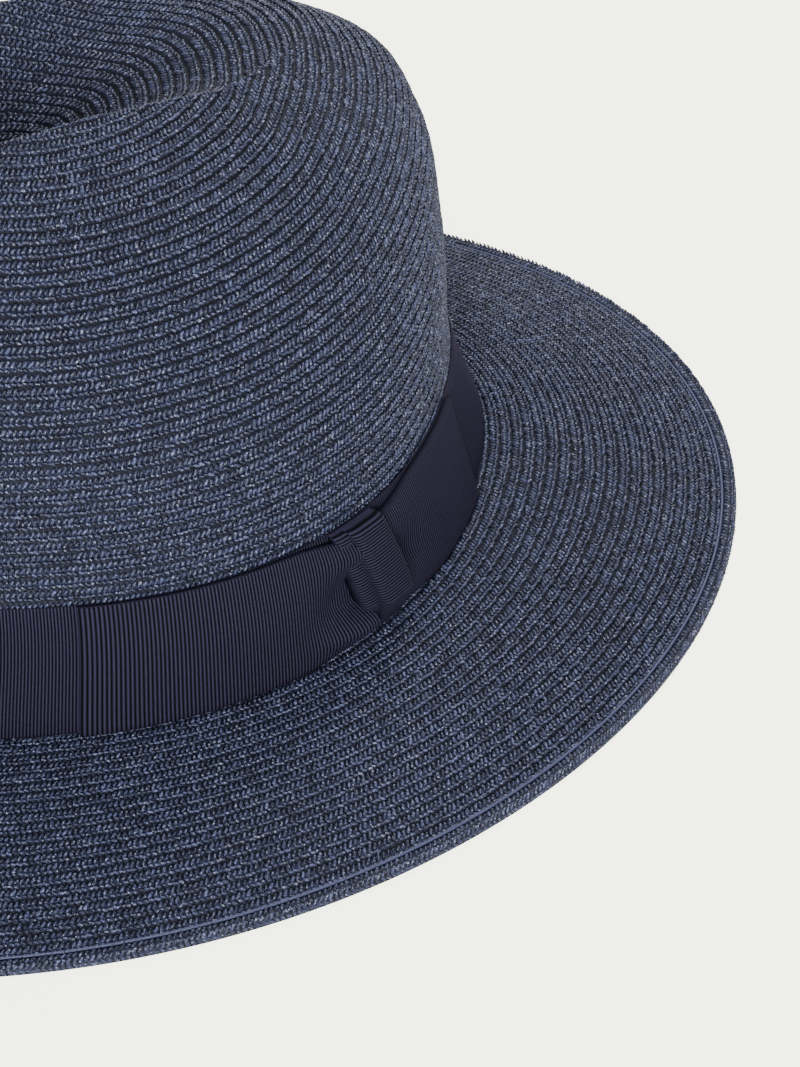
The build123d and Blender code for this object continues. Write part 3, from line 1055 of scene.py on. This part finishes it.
class FEDORA_OT_sweatband(bpy.types.Operator):
    """Build the leather sweatband, its zigzag stitches, seam cover, small bow and label"""

    bl_idname = "fedora.sweatband"
    bl_label = "Sweatband"

    def execute(self, context):
        columns = 420
        angles = tau * np.arange(columns)[None, :] / columns
        heights = np.concatenate([[0.1, 0.35, 0.9], np.linspace(2, 32, 14), [33.1, 33.7, 34.0]])[:, None]
        wave = 0.12 * np.sin(17 * angles) * smoothstep(10, 34, heights)
        rolled = 0.25 * (1 - smoothstep(0.0, 1.2, heights)) + 0.25 * smoothstep(33, 34, heights)
        outer = wall_point(angles, heights, -2.25 - rolled + wave)
        inner = wall_point(angles, heights, -3.15 + rolled + wave)
        band = skin("sweatband_leather", outer, inner, True, (600, 34))
        band.data.materials.append(made["leather"])
        finished(band, "sweatband")
        round_it = np.linspace(0, tau, 2001)
        steps = run_length(wall_point(round_it, 3.0, -3.2))
        count = int(steps[-1] / 2.4) // 2 * 2
        at = np.interp(steps[-1] * (np.arange(count) + 0.5) / count, steps, round_it)
        places = wall_point(at, 3.0, INNER_FACE)
        along = wall_point(at - 0.01, 3.0) - wall_point(at + 0.01, 3.0)
        rise = wall_point(at, 4.0) - wall_point(at, 2.0)
        points = point_piece(
            "sweatband_stitches",
            places,
            along,
            np.cross(along, rise),
            radians(38) * (-1.0) ** np.arange(count),
        )
        values = {
            "Material": made["stitches"],
            "Stitch Length": 3.0 * MM,
            "Stitch Width": 0.55 * MM,
            "Stitch Height": 0.5 * MM,
            "Wobble": radians(3),
            "Variation": 0.06,
        }
        finished(grown(points, made["single"], values), "sweatband_stitching")
        self.seam_cover()
        self.small_bow()
        self.label()
        return {"FINISHED"}

    def patch(self, name, middle, half, low, high, bulge, material, thickness):
        """A thin patch on the sweatband's inner face, seen from inside the hat."""
        span = np.linspace(-half, half, 41)[None, :]
        rows = np.linspace(low, high, 33)[:, None]
        rough_radius = 100.0
        angles = radians(middle) + span / rough_radius + 0 * rows
        heights = rows + 0 * angles
        s = (span + half) / (2 * half)
        t = (rows - low) / (high - low)
        from_side, from_end = np.minimum(s, 1 - s) * 2 * half, np.minimum(t, 1 - t) * (high - low)
        round_off = np.clip(np.minimum(from_side, from_end), 0, 0.5)
        thick = thickness * (0.4 + 0.6 * np.sqrt(np.clip(round_off / 0.5, 0, 1))) + bulge(s, t)
        near = wall_point(angles, heights, INNER_FACE - thick)[:, ::-1]
        far = wall_point(angles, heights, INNER_FACE + 0 * thick)[:, ::-1]
        piece = skin(name, near, far, False, (2 * half, high - low))
        piece.data.materials.append(material)
        return piece

    def seam_cover(self):
        piece = self.patch(
            "seam_cover_patch", 180, 5.0, 0.4, 33.6, lambda s, t: 0 * s * t, made["leather"], 0.6
        )
        finished(piece, "sweatband_seam_cover")

    def small_bow(self):
        def folds(s, t):
            knot = np.exp(-(((s - 0.5) / 0.09) ** 2))
            loops = np.sin(pi * np.clip(np.abs(2 * s - 1), 0, 1)) * (0.5 + 0.25 * np.cos(3 * tau * t))
            return 0.6 * knot + 0.35 * loops

        piece = self.patch("small_bow_ribbon", 180, 12.0, 4.8, 9.2, folds, made["tape"], 0.5)
        for vertex in piece.data.vertices:
            middle = JOINT_Z + 7.0 * MM
            share = min(1.0, abs(vertex.co.x) / (4 * MM))
            vertex.co.z = middle + (vertex.co.z - middle) * (0.55 + 0.45 * share)
            vertex.co.y -= 0.75 * MM
        finished(piece, "sweatband_bow")

    def label(self):
        def border(s, t):
            rim = np.minimum(np.minimum(s, 1 - s) * 26, np.minimum(t, 1 - t) * 14)
            return 0.12 * np.exp(-(((rim - 1.4) / 0.3) ** 2))

        piece = self.patch("plain_label", 152, 13.0, 10.0, 24.0, border, made["label"], 0.35)
        finished(piece, "size_label")


class FEDORA_OT_hidden_parts(bpy.types.Operator):
    """Give the wire, the groove's thread and the reed their finishes"""

    bl_idname = "fedora.hidden_parts"
    bl_label = "Wire, thread and reed"

    def execute(self, context):
        for name, key in (("brim_wire", "wire"), ("brim_edge_thread", "thread"), ("sweatband_reed", "reed")):
            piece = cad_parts[name]
            piece.data.materials.clear()
            piece.data.materials.append(made[key])
        return {"FINISHED"}


class FEDORA_OT_stage(bpy.types.Operator):
    """Build the floor, the studio lights and the camera"""

    bl_idname = "fedora.stage"
    bl_label = "Stage"

    def execute(self, context):
        stage = context.scene.fedora_stage
        mesh = bpy.data.meshes.new("floor")
        r = 12.0
        mesh.from_pydata([(-r, -r, 0), (r, -r, 0), (r, r, 0), (-r, r, 0)], [], [(0, 1, 2, 3)])
        floor = linked("floor", mesh)
        material, tree, inputs = finish("Pale floor", 0.95, {"Specular IOR Level": 0.0})
        inputs["Base Color"].default_value = (*stage.floor_colour, 1)
        inputs["Emission Color"].default_value = (0.95, 0.94, 0.78, 1)
        seen = tree.nodes.new("ShaderNodeLightPath").outputs["Is Camera Ray"]
        glow = maths(tree, "MULTIPLY_ADD", seen, stage.floor_glow, FLOOR_LIGHT)
        tree.links.new(glow, inputs["Emission Strength"])
        mesh.materials.append(material)
        world = bpy.data.worlds.new("studio")
        context.scene.world = world
        world.use_nodes = True
        world.node_tree.nodes["Background"].inputs[0].default_value = (1.0, 1.0, 0.99, 1)
        world.node_tree.nodes["Background"].inputs[1].default_value = stage.room_light
        self.softbox("key_softbox", (1.25, -0.85, 0.7), stage.key_light, 0.6)
        self.softbox("fill_softbox", (-0.7, 1.1, 1.2), stage.fill_light, 0.6)
        self.camera(context)
        return {"FINISHED"}

    def softbox(self, name, place, watts, size):
        lamp = bpy.data.lights.new(name, "AREA")
        lamp.energy = watts
        lamp.size = size
        light = linked(name, lamp)
        light.location = place
        aim = Vector((0, 0, 0.06)) - Vector(place)
        light.rotation_mode = "QUATERNION"
        light.rotation_quaternion = aim.to_track_quat("-Z", "Y")

    def camera(self, context):
        lens = bpy.data.cameras.new("camera")
        lens.sensor_fit = "VERTICAL"
        lens.sensor_height = 36
        lens.lens = 112.2
        lens.clip_start = 0.05
        camera = linked("camera", lens)
        place = Vector((576.4, -338.8, 474.5)) * MM
        aim = Vector((59.5, 49.3, 10.6)) * MM
        camera.location = place
        camera.rotation_mode = "QUATERNION"
        roll = Quaternion((0, 0, 1), radians(-3.11))
        camera.rotation_quaternion = (aim - place).to_track_quat("-Z", "Y") @ roll
        context.scene.camera = camera


# ---- settings, panel and registration ---------------------------------------------------------------------


def length(name, description, default):
    """A size property, given in millimetres and kept in metres."""
    return FloatProperty(
        name=name, description=description, default=default * MM, unit="LENGTH", precision=5
    )


def lean(name, description, degrees):
    """An angle property, given in degrees."""
    return FloatProperty(name=name, description=description, default=radians(degrees), subtype="ANGLE")


def strength(name, description, default):
    """A property for how strong a light or a glow is."""
    return FloatProperty(name=name, description=description, default=default, min=0)


class FedoraBraid(bpy.types.PropertyGroup):
    crown_turns: IntProperty(name="Crown turns", description="Turns of the spiral over the crown", default=61)
    brim_turns: IntProperty(name="Brim turns", description="Turns of the spiral over the brim", default=21)
    cell_spacing: length("Cell spacing", "Distance between strands along a row", 1.25)
    strand_length: length("Strand length", "Length of an upper strand", 2.05)
    strand_width: length("Strand width", "Width of an upper strand", 1.0)
    strand_height: length("Strand height", "Thickness of an upper strand", 0.8)
    strand_lean: lean("Strand lean", "Angle of an upper strand to its row", 58)
    strand_across: length("Strand place", "How far an upper strand lies towards the tip", 0.5)
    bead_length: length("Bead length", "Length of a lower strand", 1.65)
    bead_width: length("Bead width", "Width of a lower strand", 0.9)
    bead_height: length("Bead height", "Thickness of a lower strand", 0.7)
    bead_lean: lean("Bead lean", "Angle of a lower strand to its row", -25)
    bead_across: length("Bead place", "How far a lower strand lies from the tip", -0.8)


class FedoraRibbon(bpy.types.PropertyGroup):
    band_width: length("Band width", "Width of the ribbon", 31.5)
    rib_pitch: length("Rib pitch", "Distance between the ribbon's ribs", 0.76)
    rib_height: length("Rib height", "How far a rib stands proud", 0.26)
    knot_width: length("Knot width", "Width of the bow's knot", 14.5)


def colour(name, description, default):
    """A colour property."""
    return FloatVectorProperty(
        name=name, description=description, default=default, subtype="COLOR", min=0, max=1
    )


class FedoraColours(bpy.types.PropertyGroup):
    straw: colour("Straw", "Dyed straw of the braid", (0.048, 0.057, 0.118))
    # painted highlight: the colour of the small glints painted on the braid's strands
    glint_colour: colour("Glint colour", "Painted glints on the braid's fibres", (0.36, 0.39, 0.50))
    ribbon: colour("Ribbon", "Ribbon of the band and the bow", (0.0145, 0.0130, 0.027))
    leather: colour("Leather", "Leather of the sweatband", (0.030, 0.026, 0.028))


class FedoraStage(bpy.types.PropertyGroup):
    floor_colour: colour("Floor", "Colour of the floor", (0.88, 0.88, 0.83))
    floor_glow: strength("Floor glow", "Evens out the floor where the camera sees it", 3.6)
    room_light: strength("Room light", "Strength of the room's light", 0.55)
    key_light: strength("Key light", "Strength of the main softbox in watts", 34)
    fill_light: strength("Fill light", "Strength of the fill softbox in watts", 20)


OPERATORS = (
    FEDORA_OT_shared,
    FEDORA_OT_crown,
    FEDORA_OT_brim,
    FEDORA_OT_edge_row,
    FEDORA_OT_band,
    FEDORA_OT_bow,
    FEDORA_OT_sweatband,
    FEDORA_OT_hidden_parts,
    FEDORA_OT_stage,
)


class FEDORA_PT_panel(bpy.types.Panel):
    """Lists the steps that build the hat"""

    bl_idname = "FEDORA_PT_panel"
    bl_label = "Braided fedora"
    bl_space_type = "VIEW_3D"
    bl_region_type = "UI"
    bl_category = "Fedora"

    def draw(self, context):
        for operator in OPERATORS:
            self.layout.operator(operator.bl_idname)
        for group in ("fedora_braid", "fedora_ribbon", "fedora_colours", "fedora_stage"):
            settings = getattr(context.scene, group)
            box = self.layout.box()
            for key in settings.__annotations__:
                box.prop(settings, key)


GROUPS = {
    "fedora_braid": FedoraBraid,
    "fedora_ribbon": FedoraRibbon,
    "fedora_colours": FedoraColours,
    "fedora_stage": FedoraStage,
}


def register():
    for kind in (*GROUPS.values(), *OPERATORS, FEDORA_PT_panel):
        bpy.utils.register_class(kind)
    for name, kind in GROUPS.items():
        setattr(bpy.types.Scene, name, PointerProperty(type=kind))


def unregister():
    for name in GROUPS:
        delattr(bpy.types.Scene, name)
    for kind in reversed((*GROUPS.values(), *OPERATORS, FEDORA_PT_panel)):
        bpy.utils.unregister_class(kind)


def main():
    register()
    bpy.ops.fedora.shared()
    bpy.ops.fedora.crown()
    bpy.ops.fedora.brim()
    bpy.ops.fedora.edge_row()
    bpy.ops.fedora.band()
    bpy.ops.fedora.bow()
    bpy.ops.fedora.sweatband()
    bpy.ops.fedora.hidden_parts()
    bpy.ops.fedora.stage()


if __name__ == "__main__":
    main()
